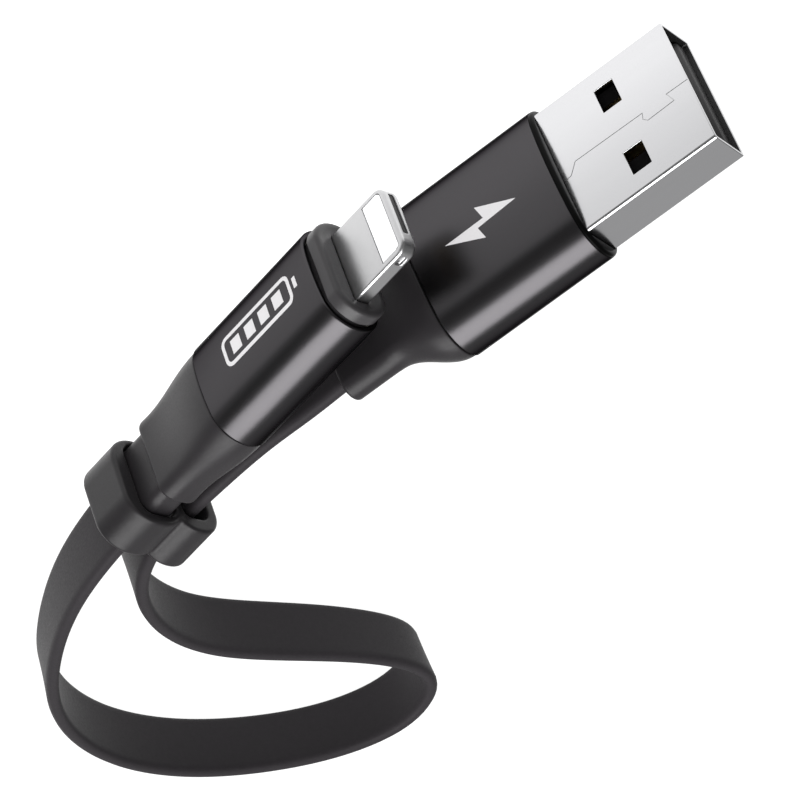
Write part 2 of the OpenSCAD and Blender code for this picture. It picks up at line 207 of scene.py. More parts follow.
M["panel"] = material("pale_panel", (0.93, 0.93, 0.94), 0.22, 0.75, vary=0.02, vary_scale=1500, rough_vary=0.05)
M["ink"] = material("pale_print", (0.62, 0.61, 0.62), 0.45, 0.0, vary=0.05, vary_scale=6000, bump=0.15, bump_scale=20000)
# gold plate's own colour, darkened to half as painted shade for the contacts seen inside the shell
M["shaded_gold"] = material("gold_plate_painted_shade", (0.50, 0.37, 0.17), 0.34, 1.0, vary=0.05, vary_scale=3000, bump=0.08)
M["clamp"] = material("stamped_steel", (0.62, 0.62, 0.63), 0.34, 1.0, vary=0.06, vary_scale=1600, streak=(0.1, 1, 1),
                      bump=0.2)
M["mould"] = material("natural_resin", (0.66, 0.65, 0.58), 0.45, 0.0, vary=0.05, vary_scale=700, bump=0.2, clouds=0.06)
M["board"] = material("solder_mask", (0.03, 0.16, 0.07), 0.3, 0.0, vary=0.15, vary_scale=3000, coat=0.2)
M["chip"] = material("epoxy_black", (0.02, 0.02, 0.02), 0.5, 0.0, vary=0.15, vary_scale=4000, bump=0.3)
M["cap"] = material("ceramic_tan", (0.42, 0.29, 0.16), 0.45, 0.0, vary=0.12, vary_scale=5000, bump=0.2)
for k, c in {"red": (0.45, 0.02, 0.02), "white": (0.75, 0.75, 0.74), "green": (0.02, 0.25, 0.07),
             "black": (0.015, 0.015, 0.015)}.items():
    M["wire_" + k] = material("wire_" + k, c, 0.4, 0.0, vary=0.06, vary_scale=1500, bump=0.1)

# carried-over CAD nodes
KEEP = {"usb_power_contacts": "shaded_gold", "usb_data_contacts": "shaded_gold", "usb_rear_clamp": "clamp", "usb_inner_mold": "mould",
        "phone_contacts": "shaded_gold", "phone_board": "board", "phone_chip": "chip", "phone_capacitors": "cap",
        "phone_shield_can": "clamp", "phone_cable_clamp": "clamp", "phone_inner_mold": "mould",
        "wire_power": "wire_red", "wire_data_minus": "wire_white", "wire_data_plus": "wire_green",
        "wire_ground": "wire_black"}
for n, k in KEEP.items():
    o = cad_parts[n]
    if not o.data.materials:
        o.data.materials.append(M[k])
    for i in range(len(o.material_slots)):
        o.material_slots[i].link = "OBJECT"
        o.material_slots[i].material = M[k]


# ------------------------------------------------------------------ mesh helpers
def piece(name, verts, faces, mat, place=at_row, body="root", replaces=(), sharp=35, flip=None):
    me = bpy.data.meshes.new(name)
    me.from_pydata((place(verts) / 1000).tolist(), [], [list(f) for f in faces])
    bm = bmesh.new()
    bm.from_mesh(me)
    bmesh.ops.recalc_face_normals(bm, faces=bm.faces)
    bm.to_mesh(me)
    bm.free()
    me.shade_smooth()
    me.set_sharp_from_angle(angle=radians(sharp))
    me.materials.append(mat)
    o = bpy.data.objects.new(name, me)
    scene.collection.objects.link(o)
    if replaces:
        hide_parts(*replaces)
    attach(o, body)
    return o


def apply_mods(o):
    """Bakes the modifiers into the mesh."""
    dg = bpy.context.evaluated_depsgraph_get()
    me = bpy.data.meshes.new_from_object(o.evaluated_get(dg), depsgraph=dg)
    old = o.data
    o.modifiers.clear()
    o.data = me
    bpy.data.meshes.remove(old)
    return o


def grid_faces(m, n, closed_m):
    f = []
    for i in range(m if closed_m else m - 1):
        a, b = i * n, ((i + 1) % m) * n
        for k in range(n):
            k2 = (k + 1) % n
            f.append((a + k, b + k, b + k2, a + k2))
    return f


def torus(rings):
    rings = np.array(rings)
    m, n = rings.shape[:2]
    return rings.reshape(-1, 3), grid_faces(m, n, True)


def tube(rings):
    rings = np.array(rings)
    m, n = rings.shape[:2]
    f = grid_faces(m, n, False)
    f.append(tuple(range(n)))
    f.append(tuple((m - 1) * n + k for k in range(n - 1, -1, -1)))
    return rings.reshape(-1, 3), f


def resample(p, n):
    """n points evenly along a closed loop."""
    q = np.vstack([p, p[:1]])
    s = np.concatenate([[0], np.cumsum(np.linalg.norm(np.diff(q, axis=0), axis=1))])
    t = np.linspace(0, s[-1], n, endpoint=False)
    return np.stack([np.interp(t, s, q[:, k]) for k in range(q.shape[1])], 1)


def crowned(t, w, flat, crown, n=160):
    """Closed outline (y, z) of a barrel: gently crowned faces run into full side bulges. Returns points and normals."""
    ang = np.linspace(0, pi / 2, 400)
    e = math.asin(min(0.9, (flat / 2) / crown))
    k = np.where(ang < e, crown, 0)
    side = 3.0
    def build(r):
        rad = np.where(ang < e, crown, r + (crown - r) * np.exp(-((ang - e) / 0.045) ** 2) * 0.5)
        d = rad[:-1] * np.diff(ang)
        z = np.concatenate([[0], np.cumsum(d * np.cos(ang[:-1]))])
        y = np.concatenate([[0], np.cumsum(d * np.sin(ang[:-1]))])
        return y, z
    lo_r, hi_r = 0.5, 12
    for _ in range(60):
        r = (lo_r + hi_r) / 2
        y, z = build(r)
        if y[-1] > t / 2:
            hi_r = r
        else:
            lo_r = r
    y, z = build(r)
    z = z * (w / 2) / z[-1]
    y = t / 2 - y * (t / 2) / y[-1]
    quarter = np.stack([y, z], 1)                       # from (t/2, 0) to (0, w/2)
    q2 = quarter[::-1][1:] * [-1, 1]
    half = np.vstack([quarter, q2])                     # to (-t/2, 0)
    loop = np.vstack([half, (half[::-1] * [1, -1])[1:-1]])
    loop = resample(loop, n)
    tan = np.roll(loop, -1, 0) - np.roll(loop, 1, 0)
    tan /= np.linalg.norm(tan, axis=1)[:, None]
    nrm = np.stack([tan[:, 1], -tan[:, 0]], 1)
    if (nrm[0] * loop[0]).sum() < 0:
        nrm = -nrm
    return loop, nrm


def rrect(t, w, r, n=160, cy=0.0, cz=0.0):
    pts = []
    for sy, sz, a0 in ((1, 1, 0), (-1, 1, 90), (-1, -1, 180), (1, -1, 270)):
        for a in np.linspace(a0, a0 + 90, 13):
            pts.append((sy * (t / 2 - r) + r * cos(radians(a)), sz * (w / 2 - r) + r * sin(radians(a))))
    # start at the middle of +y, as crowned() does
    p = np.array(pts)
    i = int(np.argmin(np.abs(p[:, 1]) + 10 * (p[:, 0] < 0)))
    p = np.roll(p, -i, 0)
    p = np.vstack([[[t / 2, 0]], p]) if abs(p[0, 1]) > 1e-6 else p
    a = np.arctan2(p[:, 1], p[:, 0]) % (2 * pi)
    p = p[np.argsort(a, kind="stable")]
    q = resample(p, n)
    tan = np.roll(q, -1, 0) - np.roll(q, 1, 0)
    tan /= np.linalg.norm(tan, axis=1)[:, None]
    nrm = np.stack([tan[:, 1], -tan[:, 0]], 1)
    if (nrm[0] * q[0]).sum() < 0:
        nrm = -nrm
    return q + [cy, cz], nrm


def ring(x, outline, d=0.0):
    p, n = outline
    q = p - n * d
    return np.column_stack([np.full(len(q), x), q])


def arc(x0, d0, x1, d1, k=5, bulge=True):
    """Quarter-round from (x0, d0) to (x1, d1) in (x, inset)."""
    out = []
    for i in range(k + 1):
        a = pi / 2 * i / k
        out.append((x0 + (x1 - x0) * (1 - cos(a)), d0 + (d1 - d0) * sin(a)) if bulge
                   else (x0 + (x1 - x0) * sin(a), d0 + (d1 - d0) * (1 - cos(a))))
    return out


# ------------------------------------------------------------------ signed distances
def sd_rr(a, b, ha, hb, r):
    qa, qb = np.abs(a) - ha + r, np.abs(b) - hb + r
    return np.hypot(np.maximum(qa, 0), np.maximum(qb, 0)) + np.minimum(np.maximum(qa, qb), 0) - r


def sd_ext(d, x, x0, x1, e=0.0):
    w = np.abs(x - (x0 + x1) / 2) - (x1 - x0) / 2 + e
    d = d + e
    return np.minimum(np.maximum(d, w), 0) + np.hypot(np.maximum(d, 0), np.maximum(w, 0)) - e


def smin(a, b, k):
    h = np.clip(0.5 + 0.5 * (b - a) / k, 0, 1)
    return b * (1 - h) + a * h - k * h * (1 - h)


def smax(a, b, k):
    return -smin(-a, -b, k)


def net(f, lo, hi, h, rounds=4):
    """Surface net of f = 0 in a box, its points moved onto the surface."""
    ax = [np.arange(lo[i] - h, hi[i] + 2 * h, h) for i in range(3)]
    X, Y, Z = np.meshgrid(*ax, indexing="ij")
    V = f(X, Y, Z)
    s = V < 0
    nx, ny, nz = s.shape
    cell = np.zeros((nx - 1, ny - 1, nz - 1), int)
    for i in (0, 1):
        for j in (0, 1):
            for k in (0, 1):
                cell += s[i:nx - 1 + i, j:ny - 1 + j, k:nz - 1 + k]
    act = (cell > 0) & (cell < 8)
    idx = -np.ones(cell.shape, int)
    idx[act] = np.arange(act.sum())
    ci = np.argwhere(act)
    P = np.stack([ax[0][ci[:, 0]], ax[1][ci[:, 1]], ax[2][ci[:, 2]]], 1) + h / 2
    faces = []
    for a in range(3):
        b, c = (a + 1) % 3, (a + 2) % 3
        sl0 = [slice(None)] * 3
        sl1 = [slice(None)] * 3
        sl0[a], sl1[a] = slice(0, -1), slice(1, None)
        x = s[tuple(sl0)] != s[tuple(sl1)]
        e = np.argwhere(x)
        e = e[(e[:, b] > 0) & (e[:, c] > 0)]
        if not len(e):
            continue
        inside = s[tuple(e.T)]
        eb, ec = np.eye(3, dtype=int)[b], np.eye(3, dtype=int)[c]
        q = [idx[tuple((e - o).T)] for o in (0 * eb, eb, eb + ec, ec)]
        q = np.stack(q, 1)
        ok = (q >= 0).all(1)
        q = np.where(inside[:, None], q, q[:, ::-1])[ok]
        faces.append(q)
    F = np.vstack(faces)
    g = h * 0.05
    for it in range(rounds):
        # relax towards the neighbours, then return to the surface
        acc = np.zeros_like(P)
        cnt = np.zeros(len(P))
        for k in range(4):
            a, b = F[:, k], F[:, (k + 1) % 4]
            np.add.at(acc, a, P[b])
            np.add.at(acc, b, P[a])
            np.add.at(cnt, a, 1)
            np.add.at(cnt, b, 1)
        if it < rounds - 1:
            P = P * 0.4 + 0.6 * acc / cnt[:, None]
        for _ in range(3):
            d = f(*P.T)
            G = np.stack([f(P[:, 0] + g, P[:, 1], P[:, 2]) - f(P[:, 0] - g, P[:, 1], P[:, 2]),
                          f(P[:, 0], P[:, 1] + g, P[:, 2]) - f(P[:, 0], P[:, 1] - g, P[:, 2]),
                          f(P[:, 0], P[:, 1], P[:, 2] + g) - f(P[:, 0], P[:, 1], P[:, 2] - g)], 1) / (2 * g)
            gg = np.maximum((G * G).sum(1), 0.05)
            step = -(d / gg)[:, None] * G
            sl = np.linalg.norm(step, axis=1)[:, None]
            P = P + step * np.minimum(1, h / np.maximum(sl, 1e-9))
    return P, F


# ------------------------------------------------------------------ the cable's route, as in the CAD source
def phone_pt(x, y):
    return (30.1 + x * cos(YAW) - y * cos(LEAN) * sin(YAW), -6.9 + x * sin(YAW) + y * cos(LEAN) * cos(YAW))


ROUTE = np.array([
    [*phone_pt(12, 0), 6.2, -3], [*phone_pt(19, 0), 6.2, -3], [*phone_pt(26, 0), 6.2, -3], [*phone_pt(33, 0), 6.2, -3],
    [69.5, 5.25, 5.5, -8], [76, 10.75, 4.7, -10], [82, 17.5, 4, -7], [85.5, 25, 3.4, -5], [86.5, 33.5, 3.2, -5],
    [84.5, 42, 3.2, -1], [80, 49.5, 3.2, 4], [75, 54.5, 3.2, 7], [69.5, 56.5, 3.2, 6], [65, 54.5, 3.2, 2],
    [63, 51, 3.2, -3], [63.5, 46, 3.2, -4], [65.5, 39.75, 3.2, -2], [68.25, 33.5, 3.2, 1], [70.75, 27, 3.2, 2],
    [70.75, 20.5, 3.5, 2], [68.75, 14, 4.1, 2], [65, 8.5, 4.9, 3], [*phone_pt(32, 4), 5.6, 3],
    [*phone_pt(25, 4), 6, 3], [*phone_pt(18, 4), 6.5, 2], [41.5, 1, 7, 0], [36, 0, 7.3, 0], [29, 0, 7.3, 0],
    [22, 0, 7.3, 0]], float)
OFFSET = np.array([TIP[0], TIP[1], 0])


def route(u):
    """Point [x, y, z, lean] of the uniform cubic spline at u, in spans."""
    i = min(int(u), len(ROUTE) - 4)
    t = u - i
    w = np.array([(1 - t) ** 3, 3 * t ** 3 - 6 * t * t + 4, -3 * t ** 3 + 3 * t * t + 3 * t + 1, t ** 3]) / 6
    return w @ ROUTE[i:i + 4]


SPANS = len(ROUTE) - 3
us = np.linspace(0, SPANS, SPANS * 60 + 1)
line = np.array([route(u) for u in us])
seg = np.concatenate([[0], np.cumsum(np.linalg.norm(np.diff(line[:, :3], axis=0), axis=1))])
# local x along the phone plug of each sample, and distance from the USB end
loc = (line[:, :3] - [30.1, -6.9, 6.2]) @ RP
start = int(np.argmax(loc[:, 0] > 25.0))                                  # inside the phone plug's relief
stop = int(len(line) - 1 - np.argmax(line[::-1][:, 0] > 34.0))            # inside the USB plug's relief
s_at = np.linspace(seg[start], seg[stop], int((seg[stop] - seg[start]) / 0.8) + 1)
mid = np.stack([np.interp(s_at, seg, line[:, k]) for k in range(4)], 1)
fine0 = np.stack([np.interp(s_at - 0.05, seg, line[:, k]) for k in range(2)], 1)
fine1 = np.stack([np.interp(s_at + 0.05, seg, line[:, k]) for k in range(2)], 1)
head = fine1 - fine0
head /= np.linalg.norm(head, axis=1)[:, None]


def sweep(outline):
    """Rings of a section (s across the thickness, w across the width) along the route."""
    rings = []
    for (x, y, z, q), h in zip(mid, head):
        q = radians(q)
        s, w = outline[:, 0], outline[:, 1]
        k = s * cos(q) + w * sin(q)
        rings.append(np.column_stack([x - h[1] * k, y + h[0] * k, z + w * cos(q) - s * sin(q)]) + OFFSET)
    return np.array(rings)


def flat_outline(w, t, r, n=40, crown=0.0):
    p, _ = rrect(t, w, r, n=400)
    p = p.copy()
    # softly crowned broad faces, fuller near the edges as an extruded flat jacket is
    f = 1 - (np.abs(p[:, 1]) / (w / 2)) ** 2
    p[:, 0] -= np.sign(p[:, 0]) * crown * np.maximum(0, f) * (np.abs(p[:, 0]) > t * 0.3)
    return resample(p, n)


outer = sweep(flat_outline(6.2, 1.24, 0.6, 44, 0.05))
inner = sweep(flat_outline(5.0, 0.62, 0.25, 44))
n_ring = len(mid)
verts = np.vstack([outer.reshape(-1, 3), inner[::-1].reshape(-1, 3)])
faces = grid_faces(2 * n_ring, 44, True)
jacket = piece("flat_cable", verts, faces, M["jacket"], replaces=["cable_jacket"], sharp=60)

# ------------------------------------------------------------------ USB plug
N = 160
BAR = crowned(7.0, 14.6, 7.7, 25.0, N)


def sleeve(x0, x1, outline, wall, e0, e1, ei=0.06):
    prof = []
    prof += [(x0 + e0 * (1 - sin(a)), e0 * (1 - cos(a))) for a in np.linspace(pi / 2, 0, 6)]
    prof += [(x0 + e0 + (x1 - x0 - e0 - e1) * u, 0) for u in (0.25, 0.5, 0.75)]
    prof += [(x1 - e1 * (1 - sin(a)), e1 * (1 - cos(a))) for a in np.linspace(0, pi / 2, 6)]
    prof += [(x1, wall - ei), (x1 - ei, wall), (x0 + ei, wall), (x0, wall - ei)]
    return torus([ring(x, outline, d) for x, d in prof])


v, f = sleeve(12.98, 26.7, BAR, 0.4, 0.06, 0.18, 0.12)
usb_barrel = piece("usb_barrel_sleeve", v, f, M["anodised"], at_usb, replaces=["usb_barrel"])

# glossy black ring between shell and barrel, with a rounded lip
hole = rrect(4.54, 12.04, 0.62, N)
prof = [(13.4, 0.42), (12.99, 0.42), (12.96, 0.1), (12.94, 0.02)]
prof += [(12.92 - 0.32 * sin(a), 0.02 + 0.36 * (1 - cos(a))) for a in np.linspace(0, pi / 2, 8)]
rings = [ring(x, BAR, d) for x, d in prof]
rings += [ring(12.62, hole, -0.2), ring(12.68, hole, -0.06), ring(12.8, hole, 0), ring(13.4, hole, 0)]
v, f = torus(rings)
bezel = piece("usb_front_ring", v, f, M["bezel"], at_usb, replaces=["usb_front_bezel"])


# soft relief: the barrel's outline eases down to the flat cable
def ease(u):
    return (1 + cos(pi * min(1, max(0, u)))) / 2


def ell(outline, w, t):
    """The outline's own shape scaled to w x t."""
    p, n = outline
    q = p * [t / (p[:, 0].max() * 2), w / (p[:, 1].max() * 2)]
    return q


def normals2(q):
    tan = np.roll(q, -1, 0) - np.roll(q, 1, 0)
    tan /= np.linalg.norm(tan, axis=1)[:, None]
    nrm = np.stack([tan[:, 1], -tan[:, 0]], 1)
    return nrm if (nrm[0] * q[0]).sum() > 0 else -nrm


def relief(x0, x1, w0, t0, w1, t1, kw, kt, outline, r_end, tail, spigot, place, name, replaces, steps=44):
    end = rrect(t1, w1, min(t1 / 2 - 0.05, 1.4), N)[0]
    rings = []
    # plain spigot inside the barrel
    rings.append(ring(x0 - spigot, outline, 0.65))
    rings.append(ring(x0, outline, 0.65))
    L = x1 - x0
    for i in range(steps + 1):
        u = i / steps
        x = x0 + u * (L - r_end)
        U = (x - x0) / L
        w = w1 + (w0 - w1) * ease(U / kw)
        t = t1 + (t0 - t1) * ease(U / kt)
        a = ell(outline, w, t)
        b = end * [t / t1, w / w1]
        mixw = min(1, U / kw) ** 1.5
        q = a * (1 - mixw) + b * mixw
        if i == 0:
            nr = normals2(q)
            rings.append(np.column_stack([np.full(N, x + 0.0), q - nr * 0.12]))
            rings.append(np.column_stack([np.full(N, x + 0.04), q - nr * 0.03]))
            rings.append(np.column_stack([np.full(N, x + 0.10), q]))
        else:
            rings.append(np.column_stack([np.full(N, x), q]))
    nr = normals2(q)
    for a in np.linspace(0, pi / 2, 7)[1:]:
        rings.append(np.column_stack([np.full(N, x1 - r_end * (1 - sin(a))), q - nr * r_end * (1 - cos(a))]))
    rings += tail
    v, f = tube(rings)
    return piece(name, v, f, M["relief"], place, replaces=replaces, sharp=40)


slot_a = rrect(1.75, 6.5, 0.6, N)
slot_b = rrect(1.36, 6.32, 0.5, N)
usb_relief = relief(26.75, 37.3, 14.4, 6.8, 9.0, 2.8, 6 / 11, 7 / 11, BAR, 0.42,
                    [ring(37.28, slot_a, -0.1), ring(37.1, slot_a, 0), ring(35.6, slot_b, 0), ring(33.0, slot_b, 0)],
                    1.3, at_usb, "usb_soft_relief", ["usb_relief"])


# folded steel shell: flat sheet faces with latch windows
def shell():
    def outline(h, w, r, zs):
        p = []
        for a in np.linspace(0, pi / 2, 7):       # corner +y +z ... going round
            p.append((h - r + r * sin(a), w - r + r * cos(a)))
        for z in zs:
            p.append((h, z))
        for a in np.linspace(0, pi / 2, 7):
            p.append((h - r + r * cos(a), -w + r - r * sin(a)))
        q = [(-y, -z) for y, z in p]
        return np.array(p + q)
    zs = [4.3, 2.1, 0.0, -2.1, -4.3]
    o = outline(2.25, 6.0, 0.32, zs)
    i = outline(1.95, 5.7, 0.12, zs)
    n = len(o)
    xs = [0, 5.5, 7.3, 12.6, 18.5]
    V = [(x, *p) for x in xs for p in o] + [(x, *p) for x in xs for p in i]
    b = len(xs) * n
    first = 7                                       # index of z = 4.3 on +y
    half = n // 2
    holes = set()
    for side in (0, half):
        for k in (first, first + 3):
            holes.add((1, side + k))
    F = []
    inside = []
    for a in range(len(xs) - 1):
        for k in range(n):
            k2 = (k + 1) % n
            if (a, k) in holes:
                q = [a * n + k, (a + 1) * n + k, (a + 1) * n + k2, a * n + k2]
                for s in range(4):
                    F.append((q[s], q[(s + 1) % 4], b + q[(s + 1) % 4], b + q[s]))
                continue
            F.append((a * n + k, (a + 1) * n + k, (a + 1) * n + k2, a * n + k2))
            inside.append(len(F))
            F.append((b + a * n + k2, b + (a + 1) * n + k2, b + (a + 1) * n + k, b + a * n + k))
    e = (len(xs) - 1) * n
    for k in range(n):
        k2 = (k + 1) % n
        F.append((k, k2, b + k2, b + k))
        F.append((e + k2, e + k, b + e + k, b + e + k2))
    return np.array(V, float), F, inside


v, f, inner_shade_faces = shell()
usb_shell = piece("usb_steel_shell", v, f, M["steel"], at_usb, replaces=["usb_shell"], sharp=180)
# painted shade: the shell's inner faces take the darkened steel
usb_shell.data.materials.append(M["inside"])
for k in inner_shade_faces:
    usb_shell.data.polygons[k].material_index = 1
bv = usb_shell.modifiers.new("b", "BEVEL")
bv.width, bv.segments, bv.limit_method, bv.angle_limit = 0.00007, 3, "ANGLE", radians(40)
bv.harden_normals = False
apply_mods(usb_shell)

# the folded sheet's interlocked seam, a fine groove in the near face
SEAM = [(-0.5, 0.05), (2.06, 0.0), (1.7, 0.91), (4.32, 0.97), (4.64, 0.64), (4.47, 0.11), (11.1, 0.03), (11.9, 0.92), (12.5, 0.98)]


def ribbon_cutter(points, width, y0, y1, name):
    p = np.array(points, float)
    n = len(p)
    left, right = [], []
    for i in range(n):
        a, b = p[max(0, i - 1)], p[min(n - 1, i + 1)]
        d0 = p[i] - a if i else b - p[i]
        d1 = b - p[i] if i < n - 1 else p[i] - a
        d0, d1 = d0 / np.linalg.norm(d0), d1 / np.linalg.norm(d1)
        t = d0 + d1
        t /= np.linalg.norm(t)
        nn = np.array([-t[1], t[0]])
        k = 1 / max(0.45, abs(nn @ np.array([-d0[1], d0[0]])))
        left.append(p[i] + nn * width / 2 * k)
        right.append(p[i] - nn * width / 2 * k)
    V, F = [], []
    for y in (y0, y1):
        for q in left + right:
            V.append((q[0], y, q[1]))
    for i in range(n - 1):
        a, b, c, d = i, i + 1, n + i + 1, n + i
        F += [(a, b, c, d), (2 * n + d, 2 * n + c, 2 * n + b, 2 * n + a), (a, 2 * n + a, 2 * n + b, b),
              (d, c, 2 * n + c, 2 * n + d)]
    F += [(0, n, 3 * n, 2 * n), (n - 1, 3 * n - 1, 4 * n - 1, 2 * n - 1)]
    me = bpy.data.meshes.new(name)
    me.from_pydata((at_usb(V) / 1000).tolist(), [], F)
    bm = bmesh.new()
    bm.from_mesh(me)
    bmesh.ops.recalc_face_normals(bm, faces=bm.faces)
    bm.to_mesh(me)
    bm.free()
    o = bpy.data.objects.new(name, me)
    scene.collection.objects.link(o)
    return o


cut = ribbon_cutter(SEAM, 0.06, -2.32, -2.21, "cut")
cut.data.materials.append(M["seam"])
bo = usb_shell.modifiers.new("c", "BOOLEAN")
bo.operation, bo.solver, bo.object = "DIFFERENCE", "EXACT", cut
bo.material_mode = "TRANSFER"
apply_mods(usb_shell)
bpy.data.objects.remove(cut)
usb_shell.data.shade_smooth()
usb_shell.data.set_sharp_from_angle(angle=radians(32))
wn = usb_shell.modifiers.new("w", "WEIGHTED_NORMAL")
wn.keep_sharp = True
wn.weight = 80
apply_mods(usb_shell)


# contact carrier: stepped moulding with a lead-in at the mouth
def prism(profile, z0, z1, name, mat, place, replaces, bevel):
    n = len(profile)
    V = [(x, y, z0) for x, y in profile] + [(x, y, z1) for x, y in profile]
    F = [tuple(range(n)), tuple(range(2 * n - 1, n - 1, -1))]
    F += [(k, (k + 1) % n, n + (k + 1) % n, n + k) for k in range(n)]
    o = piece(name, V, F, mat, place, replaces=replaces, sharp=180)
    b = o.modifiers.new("b", "BEVEL")
    b.width, b.segments, b.limit_method, b.angle_limit = bevel / 1000, 3, "ANGLE", radians(20)
    apply_mods(o)
    o.data.shade_smooth()
    o.data.set_sharp_from_angle(angle=radians(30))
    return o


insulator = prism([(0.42, 0.75), (0.95, 0.16), (11.6, 0.16), (11.6, -1.88), (16.55, -1.88), (16.55, 1.88), (0.42, 1.88)],
                  -5.55, 5.55, "usb_contact_carrier", M["insulator"], at_usb, ["usb_insulator"], 0.12)

# ------------------------------------------------------------------ phone plug
PBAR = crowned(6.3, 10.4, 4.6, 19.0, N)
v, f = sleeve(1.45, 16.35, PBAR, 0.45, 0.2, 0.12)
ph_barrel = piece("phone_barrel_sleeve", v, f, M["anodised"], at_phone, replaces=["phone_barrel"])

neck = rrect(3.2, 6.8, 1.1, N)
neck_tail = [ring(25.35, neck, 0), ring(25.6, neck, 0), ring(28, neck, 0), ring(30.5, neck, 0), ring(30.68, neck, 0.07),
             ring(30.75, neck, 0.25), ring(30.72, rrect(2.3, 6.35, 0.7, N, cy=0.1), 0),
             ring(30.5, rrect(2.2, 6.34, 0.7, N, cy=0.1), 0), ring(28.0, slot_b, 0), ring(24.0, slot_b, 0)]
ph_relief = relief(16.4, 25.35, 10.2, 6.1, 8.3, 3.9, 8.5 / 9, 8.5 / 9, PBAR, 0.32, neck_tail, 1.2, at_phone,
                   "phone_soft_relief", ["phone_relief"])

# stepped collar round the tongue
def lens_like(t, w, r, n=N):
    a0 = math.asin(min(1, t / 2 / r))
    c = w / 2 - r
    pts = []
    for a in np.linspace(0, a0, 30):
        pass
    q = []
    for a in np.linspace(a0, -a0, 50):
        q.append((r * sin(a), c + r * cos(a)))
    q2 = [(-y, -z) for y, z in q]
    p = np.array([(t / 2, 0)] + q + [(-t / 2, 0)] + q2)
    p = resample(p, n)
    return p, normals2(p)


C1, C2 = lens_like(5.3, 9.7, 2.75), lens_like(4.6, 9.0, 2.4)
T_HOLE = rrect(1.6, 6.8, 0.45, N)
rings = [ring(2.0, T_HOLE, 0), ring(0.3, T_HOLE, 0), ring(0.12, T_HOLE, -0.04), ring(0.06, T_HOLE, -0.18)]
rings += [ring(0.06, C1, 0.75), ring(0.0, C1, 0.62)]
rings += [ring(0.32 * (1 - sin(a)), C1, 0.32 * (1 - cos(a))) for a in np.linspace(pi / 2, 0, 6)]
rings += [ring(1.12, C1, 0), ring(1.2, C1, 0.08), ring(1.2, C2, 0.02), ring(1.95, C2, 0), ring(2.0, C2, 0.05)]
v, f = torus(rings)
collar = piece("phone_stepped_collar", v, f, M["collar"], at_phone, replaces=["phone_collar"])


def tongue(x, y, z):
    # plan: square inside the collar, round corners at the tip
    body = sd_rr(x - 2.3, z, 8.7, 3.35, 1.15)
    d = sd_ext(body, y, -0.75, 0.75, 0.26)
    win = np.maximum(sd_rr(x + 4.3, z + 0.06, 1.6, 2.86, 0.5), x + 3.72)
    d = smax(d, -win, 0.05)
    slot = np.maximum(sd_rr(y, z + 0.4, 0.28, 2.05, 0.12), x + 5.95)
    d = smax(d, -slot, 0.05)
    for s in (-1, 1):
        notch = np.maximum(sd_rr(x + 4.9, y, 0.45, 0.3, 0.15), 3.07 - s * z)
        d = smax(d, -notch, 0.06)
    return np.maximum(d, x - 4.0)


P, F = net(tongue, (-6.45, -0.8, -3.4), (4.0, 0.8, 3.4), 0.075)
ph_tongue = piece("phone_metal_tongue", P, F, M["tongue"], at_phone, replaces=["phone_tongue_frame"],
                  sharp=50)


def panel(x, y, z):
    s = np.maximum(sd_rr(x + 4.3, z + 0.06, 1.56, 2.82, 0.46), x + 3.75)
    return sd_ext(s, y, -0.72, 0.67, 0.05)


P, F = net(panel, (-5.95, -0.75, -2.9), (-3.7, 0.7, 2.9), 0.075)
ph_panel = piece("phone_pale_panel", P, F, M["panel"], at_phone, replaces=["phone_tongue_insert"], sharp=50)


# painted shade: a dark filler set in the tip slot so the slot reads as shade
def slot_shade_fill(x, y, z):
    s = sd_rr(y, z + 0.4, 0.26, 2.03, 0.12)
    return sd_ext(s, x, -6.28, -5.97, 0.04)


P, F = net(slot_shade_fill, (-6.3, -0.3, -2.5), (-5.95, 0.3, 1.7), 0.05)
ph_slot_shade = piece("phone_tip_slot_shade", P, F, M["insulator"], at_phone, sharp=50)


# ------------------------------------------------------------------ keeper: two moulded loops in one
def keeper_sd(x, y, z):
    x0, x1 = 27.62, 31.98
    big = sd_ext(sd_rr(y + 0.3, z - 0.2, 2.98, 4.38, 2.7), x, x0, x1, 0.34)
    small = sd_ext(sd_rr(y - 4, z + 0.3, 2.38, 4.78, 2.28), x, x0, x1 + 0.6, 0.34)
    d = smin(big, small, 0.5)
    hb = sd_rr(y, z, 1.8, 3.6, 1.2)
    hs = sd_rr(y - 4, z + 0.65, 1.36, 3.7, 0.9)
    d = smax(d, -hb, 0.28)
    return smax(d, -hs, 0.28)


P, F = net(keeper_sd, (27.5, -3.4, -5.5), (32.7, 6.5, 4.7), 0.12)
keeper = piece("rubber_keeper", P, F, M["keeper"], at_phone, body="keeper", replaces=["keeper"], sharp=70)


# ------------------------------------------------------------------ generic printed marks
def crown_y(outline, z):
    """Surface height of the -y face at width z."""
    p, _ = outline
    q = p[p[:, 0] < -abs(p[:, 0]).max() * 0.5]
    q = q[np.argsort(q[:, 1])]
    return np.interp(z, q[:, 1], q[:, 0])


def stamp(polys, outline, place, name):
    """Thin raised print on the -y face. polys are convex-ish rings of (x, z) strips: lists of quads."""
    V, F = [], []
    for quad in polys:
        b = len(V)
        q = np.array(quad, float)
        n = len(q)
        for lift in (-0.018, 0.03):
            for x, z in q:
                V.append((x, crown_y(outline, z) + lift, z))
        F.append(tuple(b + k for k in range(n)))
        F.append(tuple(b + n + k for k in range(n - 1, -1, -1)))
        F += [(b + k, b + (k + 1) % n, b + n + (k + 1) % n, b + n + k) for k in range(n)]
    return piece(name, V, F, M["ink"], place, sharp=30)


